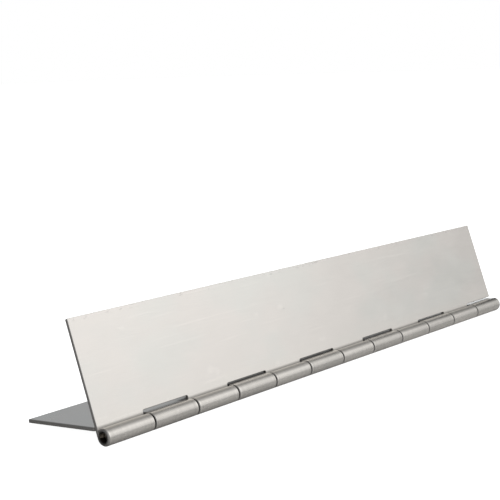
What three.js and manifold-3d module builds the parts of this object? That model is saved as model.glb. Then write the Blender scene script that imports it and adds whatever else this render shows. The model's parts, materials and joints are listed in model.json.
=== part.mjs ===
// Continuous (piano) hinge: two identical rolled sheet leaves on one long pin.
//
// Millimetres, +Z up. X runs along the pin. The hinge stands folded back on itself: the
// rear leaf lies on the ground with its free edge at +Y, the front leaf rises from the
// barrel, and the barrel is at -Y. The origin is the middle of the hinge's footprint.

import * as THREE from "three";
import { mergeVertices } from "three/addons/utils/BufferGeometryUtils.js";
import Module from "manifold-3d";

// Driving dimensions
const KNUCKLE_PITCH = 25.4;
const KNUCKLE_COUNT = 12;
const KNUCKLE_GAP = 0.6;
const LEAF_WIDTH = 50;
const SHEET_THICKNESS = 1.6;
const BORE_RADIUS = 2.15;
const SEAM_GAP = 0.3;
const PIN_RADIUS = 2;
const PIN_RECESS = 2.2;
const PIN_CHAMFER = 0.4;
const FOLD_ANGLE = THREE.MathUtils.degToRad(77);
const STOP_CLEARANCE = 0.3;
const FLANGE_START = 10;
const ARC_STEPS = 14;
const PIN_SIDES = 28;

// Worked out from the driving dimensions
const LENGTH = KNUCKLE_PITCH * KNUCKLE_COUNT;
const BARREL_RADIUS = BORE_RADIUS + SHEET_THICKNESS;
// The backs of the two leaves cross this far from the pin when the hinge is folded.
const CROSSING = BARREL_RADIUS / Math.tan(FOLD_ANGLE / 2);
const NOTCH_DEPTH = CROSSING + STOP_CLEARANCE;
// The rear leaf slopes down so that the barrel and its free edge both touch the ground.
const REAR_SLOPE =
  Math.asin(BARREL_RADIUS / Math.hypot(LEAF_WIDTH, BORE_RADIUS)) +
  Math.atan2(BORE_RADIUS, LEAF_WIDTH);
const FRONT_RISE = FOLD_ANGLE - REAR_SLOPE;
const DEPTH_BEHIND_PIN =
  LEAF_WIDTH * Math.cos(REAR_SLOPE) + BARREL_RADIUS * Math.sin(REAR_SLOPE);
const PIN_AXIS_Y = (BARREL_RADIUS - DEPTH_BEHIND_PIN) / 2;

const wasm = await Module();
wasm.setup();

// A closed geometry as a manifold-3d solid.
function solidFrom(geometry) {
  const bare = geometry.clone();
  bare.deleteAttribute("normal");
  bare.deleteAttribute("uv");
  const merged = mergeVertices(bare, 1e-4);
  return new wasm.Manifold(
    new wasm.Mesh({
      numProp: 3,
      vertProperties: merged.attributes.position.array,
      triVerts: new Uint32Array(merged.index.array),
    }),
  );
}

// A manifold-3d solid as a three.js geometry with flat faces.
function geometryFrom(solid) {
  const mesh = solid.getMesh();
  const geometry = new THREE.BufferGeometry();
  geometry.setAttribute("position", new THREE.BufferAttribute(mesh.vertProperties, 3));
  geometry.setIndex(new THREE.BufferAttribute(mesh.triVerts, 1));
  const flat = geometry.toNonIndexed();
  flat.computeVertexNormals();
  return flat;
}

// A profile drawn across the pin (x along the leaf, y towards its mounting face) and
// extruded along the pin from one place to another.
function extrudeAlongPin(profile, from, to) {
  const geometry = new THREE.ExtrudeGeometry(profile, {
    depth: to - from,
    bevelEnabled: false,
    curveSegments: ARC_STEPS,
  });
  geometry.translate(0, 0, from);
  const alongLeaf = new THREE.Vector3(0, 1, 0);
  const towardsMountingFace = new THREE.Vector3(0, 0, 1);
  const alongPin = new THREE.Vector3(1, 0, 0);
  geometry.applyMatrix4(
    new THREE.Matrix4().makeBasis(alongLeaf, towardsMountingFace, alongPin),
  );
  return geometry;
}

// The flat sheet between two distances from the pin.
function sheetProfile(from, to) {
  return new THREE.Shape()
    .moveTo(from, BORE_RADIUS)
    .lineTo(to, BORE_RADIUS)
    .lineTo(to, BARREL_RADIUS)
    .lineTo(from, BARREL_RADIUS);
}

// One knuckle: a neck of sheet that leaves the mounting face's plane at the barrel, rolls
// round the pin and ends just short of the neck's inner face.
function knuckleProfile(neckEnd) {
  const rollStart = Math.PI / 2;
  const rollEnd = Math.asin((BORE_RADIUS - SEAM_GAP) / BARREL_RADIUS);
  return new THREE.Shape()
    .moveTo(neckEnd, BARREL_RADIUS)
    .lineTo(0, BARREL_RADIUS)
    .absarc(0, 0, BARREL_RADIUS, rollStart, rollEnd, false)
    .absarc(0, 0, BORE_RADIUS, rollEnd, rollStart, true)
    .lineTo(neckEnd, BORE_RADIUS);
}

// A leaf with its knuckles in every second place along the pin, the last place included.
// Its flat sheet is two strips, so that the flange, which is the mounting face, is a plain
// rectangle clear of the fold, and only the strip next to it meets the notches.
function leafGeometry() {
  const start = -LENGTH / 2;
  const end = LENGTH / 2;
  let leaf = solidFrom(extrudeAlongPin(sheetProfile(FLANGE_START, LEAF_WIDTH), start, end));
  leaf = leaf.add(
    solidFrom(extrudeAlongPin(sheetProfile(NOTCH_DEPTH, FLANGE_START), start, end)),
  );
  const profile = knuckleProfile(NOTCH_DEPTH);
  for (let place = 1; place < KNUCKLE_COUNT; place += 2) {
    const from = start + place * KNUCKLE_PITCH + KNUCKLE_GAP / 2;
    const isLast = place === KNUCKLE_COUNT - 1;
    const to = isLast ? end : from + KNUCKLE_PITCH - KNUCKLE_GAP;
    leaf = leaf.add(solidFrom(extrudeAlongPin(profile, from, to)));
  }
  return geometryFrom(leaf);
}

// The pin, with a chamfer at each end, shorter than the barrel.
function pinGeometry() {
  const half = LENGTH / 2 - PIN_RECESS;
  const profile = [
    new THREE.Vector2(0, -half),
    new THREE.Vector2(PIN_RADIUS - PIN_CHAMFER, -half),
    new THREE.Vector2(PIN_RADIUS, -half + PIN_CHAMFER),
    new THREE.Vector2(PIN_RADIUS, half - PIN_CHAMFER),
    new THREE.Vector2(PIN_RADIUS - PIN_CHAMFER, half),
    new THREE.Vector2(0, half),
  ];
  return new THREE.LatheGeometry(profile, PIN_SIDES).rotateZ(-Math.PI / 2);
}

function namedMesh(name, geometry, color, roughness) {
  const material = new THREE.MeshStandardMaterial({ color, roughness, metalness: 1 });
  const mesh = new THREE.Mesh(geometry, material);
  mesh.name = name;
  return mesh;
}

// Both leaves are the same stamping. The rear one's mounting face looks up; the front one
// is turned end for end, so its knuckles fall in the other's gaps and their backs face.
const rearLeaf = namedMesh("rear_leaf", leafGeometry(), 0xb9bcc0, 0.42);
rearLeaf.rotation.x = -REAR_SLOPE;

const frontLeaf = namedMesh("front_leaf", leafGeometry(), 0xd8d6d2, 0.42);
frontLeaf.rotation.set(FRONT_RISE, Math.PI, 0);

const hingePin = namedMesh("hinge_pin", pinGeometry(), 0x8f9296, 0.35);

const hinge = new THREE.Group();
hinge.position.set(0, PIN_AXIS_Y, BARREL_RADIUS);
hinge.add(rearLeaf, frontLeaf, hingePin);

const part = new THREE.Group();
part.add(hinge);
export default part;
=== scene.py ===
"""Piano hinge, folded back on itself and standing on a pale floor. Metres, in the CAD model's frame."""

import json
import math

import bpy
from mathutils import Matrix, Quaternion, Vector


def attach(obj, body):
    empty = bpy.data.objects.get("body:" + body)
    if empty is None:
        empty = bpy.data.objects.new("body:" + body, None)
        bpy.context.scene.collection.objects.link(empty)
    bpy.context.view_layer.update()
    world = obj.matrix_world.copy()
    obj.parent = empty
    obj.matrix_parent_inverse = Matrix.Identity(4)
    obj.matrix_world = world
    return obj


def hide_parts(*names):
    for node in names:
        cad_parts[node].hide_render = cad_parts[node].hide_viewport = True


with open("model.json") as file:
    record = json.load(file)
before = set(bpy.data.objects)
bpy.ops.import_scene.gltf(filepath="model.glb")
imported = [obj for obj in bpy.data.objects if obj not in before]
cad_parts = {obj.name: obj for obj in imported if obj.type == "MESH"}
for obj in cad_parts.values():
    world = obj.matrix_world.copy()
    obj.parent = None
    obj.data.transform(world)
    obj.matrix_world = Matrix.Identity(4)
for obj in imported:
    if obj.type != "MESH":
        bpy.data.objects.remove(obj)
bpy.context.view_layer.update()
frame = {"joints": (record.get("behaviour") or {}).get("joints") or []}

MM = 0.001

# The leaves and the pin, as the CAD model has them
PITCH = 25.4 * MM
PLACES = 12
KNUCKLE_GAP = 0.6 * MM
LEAF_WIDTH = 50 * MM
SHEET = 1.6 * MM
BARREL_RADIUS = 3.75 * MM
FOLD_ANGLE = math.radians(77)
STOP_CLEARANCE = 0.3 * MM
PIN_RADIUS = 2.0 * MM
PIN_RECESS = 2.2 * MM

# Finer shape that only the eye needs. NOTCH_SPREAD is what each notch of the front leaf adds to the
# nominal depth, in millimetres.
SEAM_GAP = 0.12 * MM
OUTER_ROUNDING = 0.42 * MM
INNER_ROUNDING = 0.25 * MM
END_OUTER_ROUNDING = 0.75 * MM
END_INNER_ROUNDING = 0.60 * MM
END_STARTS = 1.0 * MM
END_BLEND = 2.0 * MM
NOTCH_SPREAD = (0.1, -0.1, 0.2, 0.1, 0.05, 0.5)
FREE_CORNER = 0.6 * MM
NOTCH_CORNER = 0.6 * MM
KNUCKLE_CORNER = 0.45 * MM
CORNER_ROOM = KNUCKLE_CORNER * 1.2
TOUCHING = 0.001 * MM
PIN_CROWN = 0.12 * MM
PIN_CROWN_RADIUS = 0.9 * MM
PIN_CROWN_DROP = 0.3 * PIN_CROWN
PIN_CHAMFER = 0.4 * MM
PIN_CHAMFER_BULGE = (0.4 * PIN_CHAMFER, 0.25 * PIN_CHAMFER)

ROUNDING_STEPS = 3
CORNER_STEPS = 4
ROLL_ROWS = 66
PIN_SIDES = 48

LENGTH = PITCH * PLACES
HALF = LENGTH / 2
HALF_PIN = HALF - PIN_RECESS
BORE_RADIUS = BARREL_RADIUS - SHEET
MID_RADIUS = BARREL_RADIUS - SHEET / 2
NOTCH_DEPTH = BARREL_RADIUS / math.tan(FOLD_ANGLE / 2) + STOP_CLEARANCE
ROLL_ANGLE = math.tau - math.acos((BORE_RADIUS - SEAM_GAP) / BARREL_RADIUS)
ROLL_LENGTH = MID_RADIUS * ROLL_ANGLE
REAR_SLOPE = (
    math.asin(BARREL_RADIUS / math.hypot(LEAF_WIDTH, BORE_RADIUS))
    + math.atan2(BORE_RADIUS, LEAF_WIDTH)
)
FRONT_RISE = FOLD_ANGLE - REAR_SLOPE
PIN_AXIS = Vector(frame["joints"][0]["pos_m"])


# ---------------------------------------------------------------- meshes

def smooth_mesh(name, vertices, faces):
    mesh = bpy.data.meshes.new(name)
    mesh.from_pydata(vertices, [], faces)
    mesh.polygons.foreach_set("use_smooth", [True] * len(faces))
    return mesh


def add_object(name, mesh, materials):
    piece = bpy.data.objects.new(name, mesh)
    bpy.context.scene.collection.objects.link(piece)
    for material in materials:
        mesh.materials.append(material)
    return piece


# ---------------------------------------------------------------- leaves

# The order of a leaf's materials: broad faces, cut edges and the inside of the knuckles
FACE, CUT, BORE = 0, 1, 2


def corner(at, before, after, radius):
    """The points and outward normals of one rounded corner of an outline that runs anticlockwise."""
    into, out = (at - before).normalized(), (after - at).normalized()
    turn = into.x * out.y - into.y * out.x
    side = 1 if turn > 0 else -1
    centre = at - into * radius + Vector((-into.y, into.x)) * radius * side
    points = []
    for i in range(CORNER_STEPS + 1):
        angle = math.pi / 2 * i / CORNER_STEPS * side
        spoke = Matrix.Rotation(angle, 2) @ (Vector((into.y, -into.x)) * side)
        points.append((centre + spoke * radius, spoke * side))
    return points


def straight(x, facing, heights):
    """Points along one side of a knuckle, which faces left (-1) or right (1)."""
    return [(Vector((x, y)), Vector((facing, 0))) for y in heights]


def roll_heights():
    """How far down the flat blank each row of the roll is, down to where its corners begin."""
    heights = [-ROLL_LENGTH * i / ROLL_ROWS for i in range(ROLL_ROWS)]
    return [y for y in heights if y > -ROLL_LENGTH + CORNER_ROOM]


def knuckle_spans():
    """From where to where along the pin each knuckle of a leaf runs."""
    spans = []
    for place in range(1, PLACES, 2):
        start = -HALF + place * PITCH + KNUCKLE_GAP / 2
        end = HALF if place == PLACES - 1 else start + PITCH - KNUCKLE_GAP
        spans.append((start, end))
    return spans


def knuckle_outline(span, depths, before, next_start):
    """Down the left side of one knuckle and up its right side: two lists of the same length.

    depths are those of the notches on either side. The last knuckle has no next_start: its right
    side is the leaf's own end.
    """
    start, end = span
    left_root, right_root = Vector((start, depths[0])), Vector((end, depths[1]))
    left_foot, right_foot = Vector((start, -ROLL_LENGTH)), Vector((end, -ROLL_LENGTH))
    heights = roll_heights()
    down = corner(left_root, before, left_foot, NOTCH_CORNER)
    root_heights = [point.y for point, _ in down]
    down += straight(start, -1, heights)
    down += corner(left_foot, left_root, right_foot, KNUCKLE_CORNER)
    up = corner(right_foot, left_foot, right_root, KNUCKLE_CORNER)
    up += straight(end, 1, reversed(heights))
    if next_start is None:
        up += straight(end, 1, reversed(root_heights))
    else:
        up += corner(right_root, right_foot, Vector((next_start, depths[1])), NOTCH_CORNER)
    return down, up


def outline(notch_depths):
    """The flat blank's outline before rolling: x along the pin, y from the barrel to the free edge.

    Returns points with their outward normals, and for each knuckle the pairs of point numbers that
    face each other across it.
    """
    spans = knuckle_spans()
    left_top, right_top = Vector((-HALF, LEAF_WIDTH)), Vector((HALF, LEAF_WIDTH))
    left_rim = Vector((-HALF, notch_depths[0]))
    points = corner(left_top, right_top, left_rim, FREE_CORNER)
    points += corner(left_rim, left_top, Vector((spans[0][0], notch_depths[0])), KNUCKLE_CORNER)
    rungs = []
    for number, span in enumerate(spans):
        last = number == len(spans) - 1
        depths = (notch_depths[number], notch_depths[number if last else number + 1])
        next_start = None if last else spans[number + 1][0]
        down, up = knuckle_outline(span, depths, points[-1][0], next_start)
        first = len(points)
        final = first + len(down) + len(up) - 1
        rungs.append([(first + i, final - i) for i in range(len(down))])
        points += down + up
    points += corner(right_top, Vector((HALF, 0)), left_top, FREE_CORNER)
    return points, rungs


def rim_profile(outer, inner):
    """(inset, depth below the mounting face, share of the normal that points up) across the cut edge."""
    steps = []
    for i in range(ROUNDING_STEPS + 1):
        angle = math.pi / 2 * (1 - i / ROUNDING_STEPS)
        steps.append((outer * (1 - math.cos(angle)), outer * (1 - math.sin(angle)), math.sin(angle)))
    for i in range(ROUNDING_STEPS + 1):
        angle = math.pi / 2 * i / ROUNDING_STEPS
        depth = SHEET - inner * (1 - math.sin(angle))
        steps.append((inner * (1 - math.cos(angle)), depth, -math.sin(angle)))
    return steps


def end_share(point):
    """1 round the open end of the barrel, falling to 0 on the leaf and at the tip of the roll."""
    if abs(point.x) < HALF - TOUCHING:
        return 0.0
    from_ends = min(-point.y, ROLL_LENGTH + point.y) - END_STARTS
    return min(1.0, max(0.0, from_ends / END_BLEND))


def rolled(point, normal):
    """A point and normal of the flat blank, carried round the pin where it lies beyond the bend."""
    x, along, depth = point
    radius = BARREL_RADIUS - depth
    if along >= 0:
        return Vector((x, along, radius)), normal
    angle = -along / MID_RADIUS
    turn = Matrix.Rotation(angle, 3, "X")
    return Vector((x, -radius * math.sin(angle), radius * math.cos(angle))), turn @ normal


def edge_rings(points):
    """Vertices and normals of the cut edge, ring after ring from the mounting face to the inner face."""
    vertices, normals = [], []
    plain = rim_profile(OUTER_ROUNDING, INNER_ROUNDING)
    dressed = rim_profile(END_OUTER_ROUNDING, END_INNER_ROUNDING)
    for (plain_inset, plain_depth, rise), (end_inset, end_depth, _) in zip(plain, dressed):
        level = math.sqrt(max(0.0, 1 - rise * rise))
        for point, side in points:
            share = end_share(point)
            inset = plain_inset + (end_inset - plain_inset) * share
            depth = plain_depth + (end_depth - plain_depth) * share
            at = point - side * inset
            flat_normal = Vector((side.x * level, side.y * level, rise))
            placed, normal = rolled((at.x, at.y, depth), flat_normal)
            vertices.append(placed)
            normals.append(normal)
    return vertices, normals


def edge_faces(count, rings):
    """The cut edge: quads between each ring of so many vertices and the next."""
    faces = []
    for ring in range(rings - 1):
        a, b = ring * count, (ring + 1) * count
        for i in range(count):
            j = (i + 1) % count
            faces.append((a + i, b + i, b + j, a + j))
    return faces


def turned(face, flip):
    return tuple(reversed(face)) if flip else tuple(face)


def broad_faces(points, rungs, base, inner):
    """The mounting or the inner face, from vertex base on: quads round each knuckle, and the leaf.

    Returns the faces and their materials.
    """
    faces, kinds, plate, position = [], [], [], 0
    for ladder in rungs:
        first, last = ladder[0]
        plate += range(position, first + 1)
        position = last
        for (a, d), (b, c) in zip(ladder, ladder[1:]):
            faces.append(turned((base + a, base + b, base + c, base + d), inner))
            kinds.append(BORE if inner and points[a][0].y <= 0 else FACE)
    plate += range(position, len(points))
    faces.append(turned([base + i for i in plate], inner))
    kinds.append(FACE)
    return faces, kinds


def leaf_mesh(name, notch_spread):
    """One leaf in its own frame: x along the pin, y across the leaf, z towards the mounting face."""
    points, rungs = outline([NOTCH_DEPTH + extra * MM for extra in notch_spread])
    count = len(points)
    vertices, normals = edge_rings(points)
    rings = len(vertices) // count
    faces = edge_faces(count, rings)
    kinds = [CUT] * len(faces)
    for base, inner in ((0, False), ((rings - 1) * count, True)):
        side_faces, side_kinds = broad_faces(points, rungs, base, inner)
        faces += side_faces
        kinds += side_kinds
    mesh = smooth_mesh(name, vertices, faces)
    mesh.polygons.foreach_set("material_index", kinds)
    mesh.normals_split_custom_set_from_vertices(normals)
    return mesh


# ---------------------------------------------------------------- pin

def pin_profile():
    """(place along the pin, radius) from one end's middle to the other's: a low crown and a chamfer."""
    rim = HALF_PIN - PIN_CROWN
    bulge_in, bulge_down = PIN_CHAMFER_BULGE
    end = [
        (HALF_PIN, 0.0),
        (HALF_PIN - PIN_CROWN_DROP, PIN_CROWN_RADIUS),
        (rim, PIN_RADIUS - PIN_CHAMFER),
        (rim - bulge_in, PIN_RADIUS - bulge_down),
        (rim - PIN_CHAMFER, PIN_RADIUS),
    ]
    return end + [(-x, radius) for x, radius in reversed(end)]


def pin_mesh(name):
    """The profile turned round the X axis, in rings that close to a single vertex at each end."""
    vertices, faces, rings = [], [], []
    for x, radius in pin_profile():
        if radius == 0:
            rings.append([len(vertices)] * PIN_SIDES)
            vertices.append((x, 0, 0))
            continue
        rings.append(list(range(len(vertices), len(vertices) + PIN_SIDES)))
        for i in range(PIN_SIDES):
            angle = math.tau * i / PIN_SIDES
            vertices.append((x, radius * math.cos(angle), radius * math.sin(angle)))
    for a, b in zip(rings, rings[1:]):
        for i in range(PIN_SIDES):
            j = (i + 1) % PIN_SIDES
            face = dict.fromkeys((a[i], b[i], b[j], a[j]))
            faces.append(tuple(face))
    mesh = smooth_mesh(name, vertices, faces)
    mesh.update()
    return mesh


# ---------------------------------------------------------------- node helpers

def make(tree, kind, links=None, **settings):
    """Add a node; links maps an input's name or number to a value or to another node's output."""
    node = tree.nodes.new(kind)
    for name, value in settings.items():
        setattr(node, name, value)
    for key, value in (links or {}).items():
        if isinstance(value, bpy.types.NodeSocket):
            tree.links.new(value, node.inputs[key])
        else:
            node.inputs[key].default_value = value
    return node


def math_node(tree, operation, *values, clamp=False):
    return make(
        tree, "ShaderNodeMath", dict(enumerate(values)), operation=operation, use_clamp=clamp
    ).outputs[0]


def parts_of(tree, vector):
    """The x, y and z of a vector."""
    return make(tree, "ShaderNodeSeparateXYZ", {0: vector}).outputs


def smooth_ramp(tree, value, low, high, to_low=0.0, to_high=1.0):
    """Goes smoothly from to_low to to_high as value goes from low to high."""
    links = {"Value": value, "From Min": low, "From Max": high, "To Min": to_low, "To Max": to_high}
    return make(tree, "ShaderNodeMapRange", links, interpolation_type="SMOOTHSTEP").outputs[0]


def noise(tree, coords, per_metre, seed, detail, roughness):
    """Noise with so many cells in a metre along each axis."""
    spot = make(tree, "ShaderNodeMapping", {"Vector": coords, "Scale": per_metre, "Location": (seed,) * 3})
    links = {"Vector": spot.outputs[0], "Scale": 1.0, "Detail": detail, "Roughness": roughness}
    return make(tree, "ShaderNodeTexNoise", links).outputs[0]


def noises(tree, coords, table, seed=0.0):
    """A noise for each row of a table: its cells in a metre, its own seed, detail and roughness."""
    return {
        name: noise(tree, coords, cells, seed + own_seed, detail, roughness)
        for name, (cells, own_seed, detail, roughness) in table.items()
    }


def mottled(tree, base, marks, amounts):
    """base plus the sum of amount * (mark - 0.5), so that a mark goes both ways."""
    total = base
    for mark, amount in amounts.items():
        centred = math_node(tree, "SUBTRACT", marks[mark], 0.5)
        total = math_node(tree, "MULTIPLY_ADD", centred, amount, total)
    return total


def marked(tree, base, marks, amounts):
    """base plus the sum of amount * mark, so that a mark only adds or only takes away."""
    total = base
    for mark, amount in amounts.items():
        total = math_node(tree, "MULTIPLY_ADD", marks[mark], amount, total)
    return total


def product(tree, first, *others):
    for other in others:
        first = math_node(tree, "MULTIPLY", first, other)
    return first


def inverse(tree, value):
    return math_node(tree, "SUBTRACT", 1.0, value)


def blended(tree, blend, first, second, kind="RGBA"):
    """first where blend is 0, second where it is 1."""
    links = {"Factor": blend, "A": first, "B": second}
    return make(tree, "ShaderNodeMix", links, data_type=kind).outputs["Result"]


def scaled(tree, color, strength):
    """A colour made lighter or darker by strength."""
    return make(tree, "ShaderNodeVectorMath", {0: color, "Scale": strength}, operation="SCALE").outputs[0]


def metal(name):
    """A metallic material, its node tree, its shader and the piece's own coordinates."""
    material = bpy.data.materials.new(name)
    material.use_nodes = True
    tree = material.node_tree
    shader = tree.nodes["Principled BSDF"]
    shader.inputs["Metallic"].default_value = 1
    coords = make(tree, "ShaderNodeTexCoord").outputs["Object"]
    return material, tree, shader, coords


def finish_surface(tree, shader, color, roughness, height, depth):
    tree.links.new(color, shader.inputs["Base Color"])
    tree.links.new(roughness, shader.inputs["Roughness"])
    bump = make(tree, "ShaderNodeBump", {"Height": height, "Distance": depth})
    tree.links.new(bump.outputs[0], shader.inputs["Normal"])


# ---------------------------------------------------------------- sheet steel

# The flat sheet drifts between two colours, and has a third where it was bent and rolled.
WARM_STEEL = (0.778, 0.744, 0.706, 1)
COOL_STEEL = (0.755, 0.744, 0.707, 1)
WORKED_STEEL = (0.771, 0.742, 0.697, 1)
COOL_PATCHES = (0.40, 0.66)
# The rear leaf's copy of the steel is darker: painted shade, for the dimmer highlights on its knuckles
FRONT_TONE, REAR_TONE = 1.0, 0.93
FRONT_SEED, REAR_SEED = 0.0, 40.0

# Zones across a leaf, by distance from the pin's axis: where each one starts and where it is full
WORKED_ZONE = (12 * MM, 3.6 * MM)
ROLLED_ZONE = (4.2 * MM, 3.6 * MM)
CREVICE_ZONE = (5.2 * MM, 4.0 * MM)
OFF_THE_CROWN = (1.0 * MM, 2.0 * MM)
NECK_ZONE = (6.5 * MM, 3.5 * MM)
ABOVE_THE_BARREL = (0.7 * MM, 1.9 * MM)
NICKED_ZONE = (LEAF_WIDTH - 2.4 * MM, LEAF_WIDTH - 0.9 * MM)

# Zones through the sheet, by distance from the pin towards the mounting face
INNER_SIDE = (3.2 * MM, 2.6 * MM)
ON_THE_LEAF = (1.7 * MM, 2.0 * MM)
CREVICE_ON_BARREL = 0.35

# Zones along the pin: the ringed and rubbed ones (the rubbed with a painted highlight) by distance from
# the middle of a knuckle, in pitches, and the end necks, with less painted shade, from the hinge's middle
RINGED_ZONE = (0.34, 0.47)
RINGS_ELSEWHERE = 0.25
RUBBED_HIGHLIGHT_ZONE = (0.450, 0.465)
# The necks nearest the hinge's ends get almost none of the painted shade
END_NECKS_ZONE = (HALF - 1.9 * PITCH, HALF - 1.7 * PITCH)
END_NECKS_SHADE_CUT = -0.95

# Noise on the sheet: cells in a metre along the pin, across the leaf and through it, seed, detail
# and roughness
SHEET_NOISES = {
    "grain": ((45, 2400, 2400), 0, 3, 0.6),
    "blotch": ((16, 26, 26), 3, 3, 0.5),
    "smudge": ((60, 85, 85), 7, 5, 0.65),
    "hue": ((22, 30, 30), 11, 2, 0.5),
    "rings": ((620, 50, 50), 13, 4, 0.6),
    "scratches": ((30, 1100, 1100), 17, 1, 0.5),
    "touches": ((85, 120, 120), 23, 3, 0.5),
    "dents": ((330, 620, 620), 29, 3, 0.5),
}

# Where a pattern turns into a mark
SCRATCH_EDGE = (0.66, 0.72)
TOUCHED_EDGE = (0.66, 0.74)
NICK_EDGE = (0.60, 0.68)
SPECK_CELLS = 150.0
SPECK_EDGE = (0.075, 0.03)
SPECK_CHANCE = (0.88, 0.90)

# What the marks add to or take from the sheet's reflection, its roughness and its height
TONE_MOTTLING = {"blotch": 0.09, "smudge": 0.10, "grain": 0.07}
TONE_HANDLING = {"scratch": 0.03, "touched": 0.035}
TONE_DULLING = {"rolled": -0.15}
# The rubbed band beside each joint is brightened: a painted highlight
TONE_STREAKS = {"rubbed_and_highlight": 0.20, "ringed": 0.9}
# Painted shade: darker in the corner between barrel and inner face, and on the necks seen through the
# slots
TONE_PAINTED_SHADE = {"crevice": -0.38, "neck": -0.62}
TONE_SPECKS = {"speck": -0.22, "nick": -0.17}
SHEET_ROUGHNESS = 0.24
ROUGHNESS_MOTTLING = {"smudge": 0.10, "grain": 0.05, "blotch": 0.04}
ROUGHNESS_CHANGES = {"rolled": 0.03, "crevice": 0.2, "neck": 0.15, "rubbed_and_highlight": -0.05}
HEIGHT_MOTTLING = {"grain": 1.0, "rings": 0.5}
HEIGHT_CUTS = {"scratch": -0.5, "speck": -1.5}
SHEET_RELIEF = 0.003 * MM


def sheet_marks(tree, coords, seed):
    """Patterns in the metal and marks all over it, drawn out along the pin as the sheet was milled."""
    marks = noises(tree, coords, SHEET_NOISES, seed)
    marks["scratch"] = smooth_ramp(tree, marks["scratches"], *SCRATCH_EDGE)
    marks["touched"] = smooth_ramp(tree, marks["touches"], *TOUCHED_EDGE)
    marks["speck"] = specks(tree, coords)
    return marks


def specks(tree, coords):
    """Small round dots, in a few of the cells."""
    cells = make(tree, "ShaderNodeTexVoronoi", {"Vector": coords, "Scale": SPECK_CELLS})
    dot = smooth_ramp(tree, cells.outputs["Distance"], *SPECK_EDGE)
    chance = make(tree, "ShaderNodeSeparateColor", {0: cells.outputs["Color"]}).outputs[0]
    return product(tree, dot, smooth_ramp(tree, chance, *SPECK_CHANCE))


def painted_shade_zones(tree, x, y, z):
    """Painted shade in the corner between barrel and inner face, and on the necks that join the knuckles
    to the leaf.

    The necks nearest to the hinge's ends get little of it.
    """
    inner_side = smooth_ramp(tree, z, *INNER_SIDE)
    crevice = product(
        tree,
        smooth_ramp(tree, y, *CREVICE_ZONE),
        inner_side,
        smooth_ramp(tree, z, *ON_THE_LEAF, CREVICE_ON_BARREL, 1.0),
        smooth_ramp(tree, y, *OFF_THE_CROWN),
    )
    along = math_node(tree, "ABSOLUTE", x)
    end_necks = {"end_necks": smooth_ramp(tree, along, *END_NECKS_ZONE)}
    neck = product(
        tree,
        smooth_ramp(tree, y, *NECK_ZONE),
        inverse(tree, inner_side),
        smooth_ramp(tree, y, *ABOVE_THE_BARREL),
        marked(tree, 1.0, end_necks, {"end_necks": END_NECKS_SHADE_CUT}),
    )
    return {"crevice": crevice, "neck": neck}


def turned_zones(tree, x, y, rings):
    """The rolled knuckles, with rings turned into them and a rubbed band with a painted highlight, both
    beside each joint.
    """
    rolled_metal = smooth_ramp(tree, y, *ROLLED_ZONE)
    place = math_node(tree, "FRACT", math_node(tree, "MULTIPLY_ADD", x, 1 / PITCH, PLACES / 2))
    from_middle = math_node(tree, "ABSOLUTE", math_node(tree, "SUBTRACT", place, 0.5))
    by_joint = smooth_ramp(tree, from_middle, *RINGED_ZONE, RINGS_ELSEWHERE, 1.0)
    ring_depth = math_node(tree, "SUBTRACT", rings, 0.5)
    return {
        "rolled": rolled_metal,
        "rubbed_and_highlight": product(tree, smooth_ramp(tree, from_middle, *RUBBED_HIGHLIGHT_ZONE), rolled_metal),
        "ringed": product(tree, ring_depth, product(tree, by_joint, rolled_metal)),
    }


def sheet_steel(name, seed, tone):
    """Mill-finished stainless sheet: grain along the strip, handling marks, dull rolled knuckles."""
    material, tree, shader, coords = metal(name)
    x, y, z = parts_of(tree, coords)
    marks = sheet_marks(tree, coords, seed)
    marks |= painted_shade_zones(tree, x, y, z)
    marks |= turned_zones(tree, x, y, marks["rings"])
    dents = smooth_ramp(tree, marks["dents"], *NICK_EDGE)
    marks["nick"] = product(tree, dents, smooth_ramp(tree, y, *NICKED_ZONE))

    strength = mottled(tree, tone, marks, TONE_MOTTLING)
    strength = marked(tree, strength, marks, TONE_HANDLING)
    for amounts in (TONE_DULLING, TONE_STREAKS, TONE_PAINTED_SHADE, TONE_SPECKS):
        strength = product(tree, strength, marked(tree, 1.0, marks, amounts))
    color = blended(tree, smooth_ramp(tree, marks["hue"], *COOL_PATCHES), WARM_STEEL, COOL_STEEL)
    color = blended(tree, smooth_ramp(tree, y, *WORKED_ZONE), color, WORKED_STEEL)

    roughness = mottled(tree, SHEET_ROUGHNESS, marks, ROUGHNESS_MOTTLING)
    roughness = marked(tree, roughness, marks, ROUGHNESS_CHANGES)
    height = mottled(tree, 0.0, marks, HEIGHT_MOTTLING)
    height = marked(tree, height, marks, HEIGHT_CUTS)
    finish_surface(tree, shader, scaled(tree, color, strength), roughness, height, SHEET_RELIEF)
    return material


# ---------------------------------------------------------------- cut edges, bores and pin

CUT_NOISES = {
    "lines": ((2600, 2600, 150), 0, 3, 0.7),
    "patches": ((180, 180, 180), 5, 2, 0.5),
}
CUT_WARM = (0.40, 0.38, 0.355, 1)
CUT_COOL = (0.37, 0.365, 0.36, 1)
CUT_TONE = 0.92
CUT_MOTTLING = {"lines": 0.5, "patches": 0.25}
CUT_ROUGHNESS = 0.42
CUT_ROUGHNESS_MOTTLING = {"lines": 0.3, "patches": 0.1}
CUT_RELIEF = 0.012 * MM
# Cut edges darken towards the bore: oil, and painted shade for the end faces and the bore
OIL_AND_SHADE_ZONE = (2.1 * MM, 3.4 * MM)
OIL_AND_SHADE_TONE, CLEAR_OF_BORE_TONE = 0.12, 1.25
# A painted highlight along the free edge
FREE_EDGE_HIGHLIGHT_ZONE = (LEAF_WIDTH - 0.7 * MM, LEAF_WIDTH - 0.2 * MM)
FREE_EDGE_HIGHLIGHT = 0.9

OIL_NOISES = {"film": ((350, 350, 350), 0, 4, 0.5)}
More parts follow.
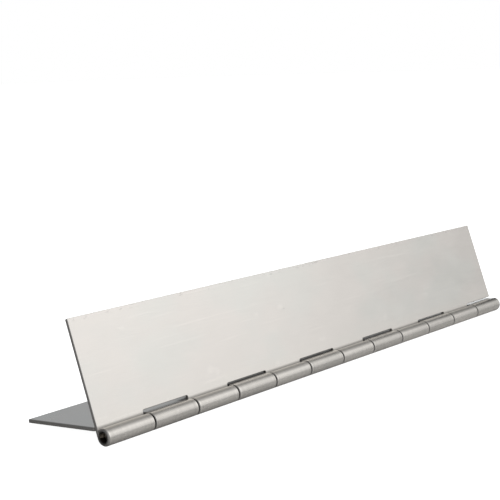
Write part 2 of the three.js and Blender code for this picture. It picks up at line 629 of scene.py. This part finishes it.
# The inside of the knuckles: old oil and dirt, painted near black as the shade in the bore
OIL_AND_SHADE_DARK = (0.022, 0.018, 0.014, 1)
OIL_AND_SHADE_BROWN = (0.05, 0.042, 0.035, 1)
OIL_MOTTLING = {"film": 0.6}
OIL_ROUGHNESS = 0.5
OIL_ROUGHNESS_MOTTLING = {"film": 0.3}
OIL_RELIEF = 0.02 * MM

WIRE_NOISES = {
    "drawn": ((60, 3000, 3000), 0, 3, 0.6),
    "stain": ((500, 500, 500), 9, 4, 0.5),
}
WIRE_STEEL = (0.50, 0.455, 0.40, 1)
WIRE_STAIN = (0.38, 0.32, 0.26, 1)
WIRE_MOTTLING = {"drawn": 0.25, "stain": 0.4}
CROPPED_ZONE = (HALF_PIN - 1 * MM, HALF_PIN)
CROPPED_TONE = {"cropped": -0.35}
WIRE_ROUGHNESS = 0.46
WIRE_ROUGHNESS_MOTTLING = {"stain": 0.25, "drawn": 0.1}
WIRE_HEIGHTS = {"drawn": 1.0, "stain": 1.0}
WIRE_RELIEF = 0.01 * MM


def sheared_steel(name):
    """The cut edges: grey, rough and striated through the sheet, darker round the bore with oil and
    painted shade.

    The free edge, which was slit, is painted brighter: a painted highlight.
    """
    material, tree, shader, coords = metal(name)
    marks = noises(tree, coords, CUT_NOISES)
    _, y, z = parts_of(tree, coords)
    spoke = make(tree, "ShaderNodeCombineXYZ", {1: y, 2: z}).outputs[0]
    from_pin = make(tree, "ShaderNodeVectorMath", {0: spoke}, operation="LENGTH").outputs["Value"]
    # Darker towards the bore: oil and painted shade
    clear_of_bore = smooth_ramp(tree, from_pin, *OIL_AND_SHADE_ZONE, OIL_AND_SHADE_TONE, CLEAR_OF_BORE_TONE)
    # A painted highlight along the free edge
    edge_highlight = smooth_ramp(tree, y, *FREE_EDGE_HIGHLIGHT_ZONE, 0.0, FREE_EDGE_HIGHLIGHT)
    strength = mottled(tree, CUT_TONE, marks, CUT_MOTTLING)
    strength = product(tree, strength, clear_of_bore, math_node(tree, "ADD", edge_highlight, 1.0))
    color = scaled(tree, blended(tree, marks["patches"], CUT_WARM, CUT_COOL), strength)
    roughness = mottled(tree, CUT_ROUGHNESS, marks, CUT_ROUGHNESS_MOTTLING)
    finish_surface(tree, shader, color, roughness, marks["lines"], CUT_RELIEF)
    return material


def greasy_shaded_steel(name):
    """The inside of the knuckles, dark with old oil and dirt, and painted near black as shade."""
    material, tree, shader, coords = metal(name)
    marks = noises(tree, coords, OIL_NOISES)
    strength = mottled(tree, 1.0, marks, OIL_MOTTLING)
    color = scaled(tree, blended(tree, marks["film"], OIL_AND_SHADE_DARK, OIL_AND_SHADE_BROWN), strength)
    roughness = mottled(tree, OIL_ROUGHNESS, marks, OIL_ROUGHNESS_MOTTLING)
    finish_surface(tree, shader, color, roughness, marks["film"], OIL_RELIEF)
    return material


def pin_steel(name):
    """Drawn wire: fine lines along it, browned where it was cropped."""
    material, tree, shader, coords = metal(name)
    along = math_node(tree, "ABSOLUTE", parts_of(tree, coords)[0])
    marks = noises(tree, coords, WIRE_NOISES)
    marks["cropped"] = smooth_ramp(tree, along, *CROPPED_ZONE)
    strength = mottled(tree, 1.0, marks, WIRE_MOTTLING)
    strength = product(tree, strength, marked(tree, 1.0, marks, CROPPED_TONE))
    color = scaled(tree, blended(tree, marks["stain"], WIRE_STEEL, WIRE_STAIN), strength)
    roughness = mottled(tree, WIRE_ROUGHNESS, marks, WIRE_ROUGHNESS_MOTTLING)
    height = mottled(tree, 0.0, marks, WIRE_HEIGHTS)
    finish_surface(tree, shader, color, roughness, height, WIRE_RELIEF)
    return material


# ---------------------------------------------------------------- assembly

cut_steel = sheared_steel("cut_steel")
bore_steel = greasy_shaded_steel("bore_steel")
rear = add_object(
    "rear_leaf_sheet",
    leaf_mesh("rear_leaf_sheet", (0.0,) * len(NOTCH_SPREAD)),
    (sheet_steel("rear_steel", REAR_SEED, REAR_TONE), cut_steel, bore_steel),
)
front = add_object(
    "front_leaf_sheet",
    leaf_mesh("front_leaf_sheet", NOTCH_SPREAD),
    (sheet_steel("front_steel", FRONT_SEED, FRONT_TONE), cut_steel, bore_steel),
)
pin = add_object("pin_rod", pin_mesh("pin_rod"), (pin_steel("pin_steel"),))
at_pin = Matrix.Translation(PIN_AXIS)
rear.matrix_world = at_pin @ Matrix.Rotation(-REAR_SLOPE, 4, "X")
front.matrix_world = at_pin @ Matrix.Rotation(FRONT_RISE, 4, "X") @ Matrix.Rotation(math.pi, 4, "Y")
pin.matrix_world = at_pin
for piece, node, body, slot in (
    (rear, "rear_leaf", "rear_leaf", "leaf_steel"),
    (front, "front_leaf", "front_leaf", "leaf_steel"),
    (pin, "hinge_pin", "rear_leaf", "pin_steel"),
):
    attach(piece, body)
    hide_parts(node)

# ---------------------------------------------------------------- studio

WHITE = (1, 1, 1, 1)
FLOOR_HALF = 20
FLOOR_ALBEDO = 0.90
FLOOR_GLOW = 0.96

# How much darker reflections see the floor under the barrel, at its near and far end
FLOOR_SHADE = (0.46, 0.08)
SHADE_REACH = 10 * MM

# The studio's brightness by angle round the X axis: 0 is level in front, 90 overhead, 180 level
# behind. The first column is for the middle and left of the studio, the second for the far right.
STUDIO = (
    (0, 0.80, 0.62),
    (15, 1.00, 0.56),
    (30, 1.14, 0.59),
    (50, 1.26, 0.70),
    (66, 1.13, 0.64),
    (83, 0.76, 0.37),
    (101, 0.40, 0.07),
    (121, 0.30, 0.02),
    (150, 0.33, 0.02),
    (168, 0.44, 0.06),
    (178, 0.48, 7.00),
)
HALF_TURN = 180
MIDDLE, FAR_RIGHT = 1, 2
RAMP_SCALE = 2.0
BACK_TONE = (0.965, 1.0, 1.035, 1)

# Where things start and end in the studio: a direction's x, or its turn from 0 (level in front) to
# 1 (level behind)
FAR_RIGHT_ZONE = (0.69, 0.89)
DIM_LEFT_ZONE = (-0.6, 0.2)
LEFT_DIMMING = 0.45
BEHIND_ZONE = (0.7, 0.95)
CARD_LEFT = (0.657, 0.683)
CARD_RIGHT = (0.818, 0.806)
CARD_TOP = (0.88, 0.93)
CARD_SHADE = {"card": -0.86}


def light_by_angle(tree, turn, column):
    """The brightness in one column of STUDIO. The ramp holds it divided by RAMP_SCALE."""
    ramp = make(tree, "ShaderNodeValToRGB", {"Fac": turn})
    ramp.color_ramp.interpolation = "B_SPLINE"
    stops = ramp.color_ramp.elements
    while len(stops) < len(STUDIO):
        stops.new(0.5)
    for stop, row in zip(stops, STUDIO):
        level = row[column] / RAMP_SCALE
        stop.position = row[0] / HALF_TURN
        stop.color = (level, level, level, 1)
    return math_node(tree, "MULTIPLY", ramp.outputs[0], RAMP_SCALE)


def camera_ray(tree):
    return make(tree, "ShaderNodeLightPath").outputs["Is Camera Ray"]


def studio_level(tree, x, turn):
    """The studio's brightness, with a dark card low behind the hinge, towards the right."""
    far_right = smooth_ramp(tree, x, *FAR_RIGHT_ZONE)
    middle = light_by_angle(tree, turn, MIDDLE)
    right = light_by_angle(tree, turn, FAR_RIGHT)
    level = blended(tree, far_right, middle, right, "FLOAT")
    level = product(tree, level, smooth_ramp(tree, x, *DIM_LEFT_ZONE, LEFT_DIMMING, 1.0))
    card = product(
        tree,
        smooth_ramp(tree, x, *CARD_LEFT),
        smooth_ramp(tree, x, *CARD_RIGHT),
        smooth_ramp(tree, turn, *CARD_TOP),
    )
    return product(tree, level, marked(tree, 1.0, {"card": card}, CARD_SHADE))


def light_studio():
    """The world: soft light that the hinge reflects, and plain white to the camera."""
    world = bpy.data.worlds.new("studio")
    bpy.context.scene.world = world
    world.use_nodes = True
    tree = world.node_tree
    background = tree.nodes["Background"]
    x, y, z = parts_of(tree, make(tree, "ShaderNodeTexCoord").outputs["Generated"])
    turn = math_node(tree, "ARCTAN2", z, math_node(tree, "MULTIPLY", y, -1.0))
    turn = math_node(tree, "DIVIDE", turn, math.pi, clamp=True)
    seen = camera_ray(tree)
    level = blended(tree, seen, studio_level(tree, x, turn), 1.0, "FLOAT")
    tree.links.new(level, background.inputs["Strength"])
    behind = smooth_ramp(tree, turn, *BEHIND_ZONE)
    tone = blended(tree, product(tree, behind, inverse(tree, seen)), WHITE, BACK_TONE)
    tree.links.new(tone, background.inputs["Color"])


def floor_paint():
    """White to the camera. Reflections see a plain pale floor, shaded under the barrel."""
    material = bpy.data.materials.new("floor")
    material.use_nodes = True
    tree = material.node_tree
    paint = tree.nodes["Principled BSDF"]
    paint.inputs["Roughness"].default_value = 1.0
    paint.inputs["Emission Color"].default_value = WHITE
    seen = camera_ray(tree)
    x, y, _ = parts_of(tree, make(tree, "ShaderNodeTexCoord").outputs["Object"])
    under = smooth_ramp(tree, y, PIN_AXIS.y - SHADE_REACH, PIN_AXIS.y)
    depth = smooth_ramp(tree, x, -HALF, HALF, *FLOOR_SHADE)
    shaded = product(tree, under, depth, inverse(tree, seen))
    albedo = product(tree, inverse(tree, shaded), FLOOR_ALBEDO)
    albedo = make(tree, "ShaderNodeCombineXYZ", {0: albedo, 1: albedo, 2: albedo}).outputs[0]
    tree.links.new(albedo, paint.inputs["Base Color"])
    tree.links.new(product(tree, seen, FLOOR_GLOW), paint.inputs["Emission Strength"])
    return material


def floor_mesh():
    half = FLOOR_HALF
    mesh = bpy.data.meshes.new("floor")
    corners = [(-half, -half, 0), (half, -half, 0), (half, half, 0), (-half, half, 0)]
    mesh.from_pydata(corners, [], [(0, 1, 2, 3)])
    return mesh


light_studio()
floor = add_object("floor", floor_mesh(), (floor_paint(),))
bpy.context.scene.view_settings.view_transform = "Standard"

# ---------------------------------------------------------------- camera

# Fitted to the hinge's outlines, joints and corners in the photograph. The lens and the sensor are
# in millimetres, as Blender takes them.
CAMERA_AT = Vector((-417.74, -352.13, 146.49)) * MM
CAMERA_AZIMUTH = math.radians(47.19)
CAMERA_TILT = math.radians(9.32)
CAMERA_ROLL = math.radians(-1.80)
CAMERA_LENS = 78.63
SENSOR_WIDTH = 36
CLIP_START = 10 * MM

camera_data = bpy.data.cameras.new("camera")
camera_data.lens = CAMERA_LENS
camera_data.sensor_width = SENSOR_WIDTH
camera_data.clip_start = CLIP_START
camera = bpy.data.objects.new("camera", camera_data)
bpy.context.scene.collection.objects.link(camera)
ahead = Vector((
    math.sin(CAMERA_AZIMUTH) * math.cos(CAMERA_TILT),
    math.cos(CAMERA_AZIMUTH) * math.cos(CAMERA_TILT),
    -math.sin(CAMERA_TILT),
))
camera.location = CAMERA_AT
camera.rotation_mode = "QUATERNION"
camera.rotation_quaternion = Quaternion(ahead, -CAMERA_ROLL) @ ahead.to_track_quat("-Z", "Y")
bpy.context.scene.camera = camera
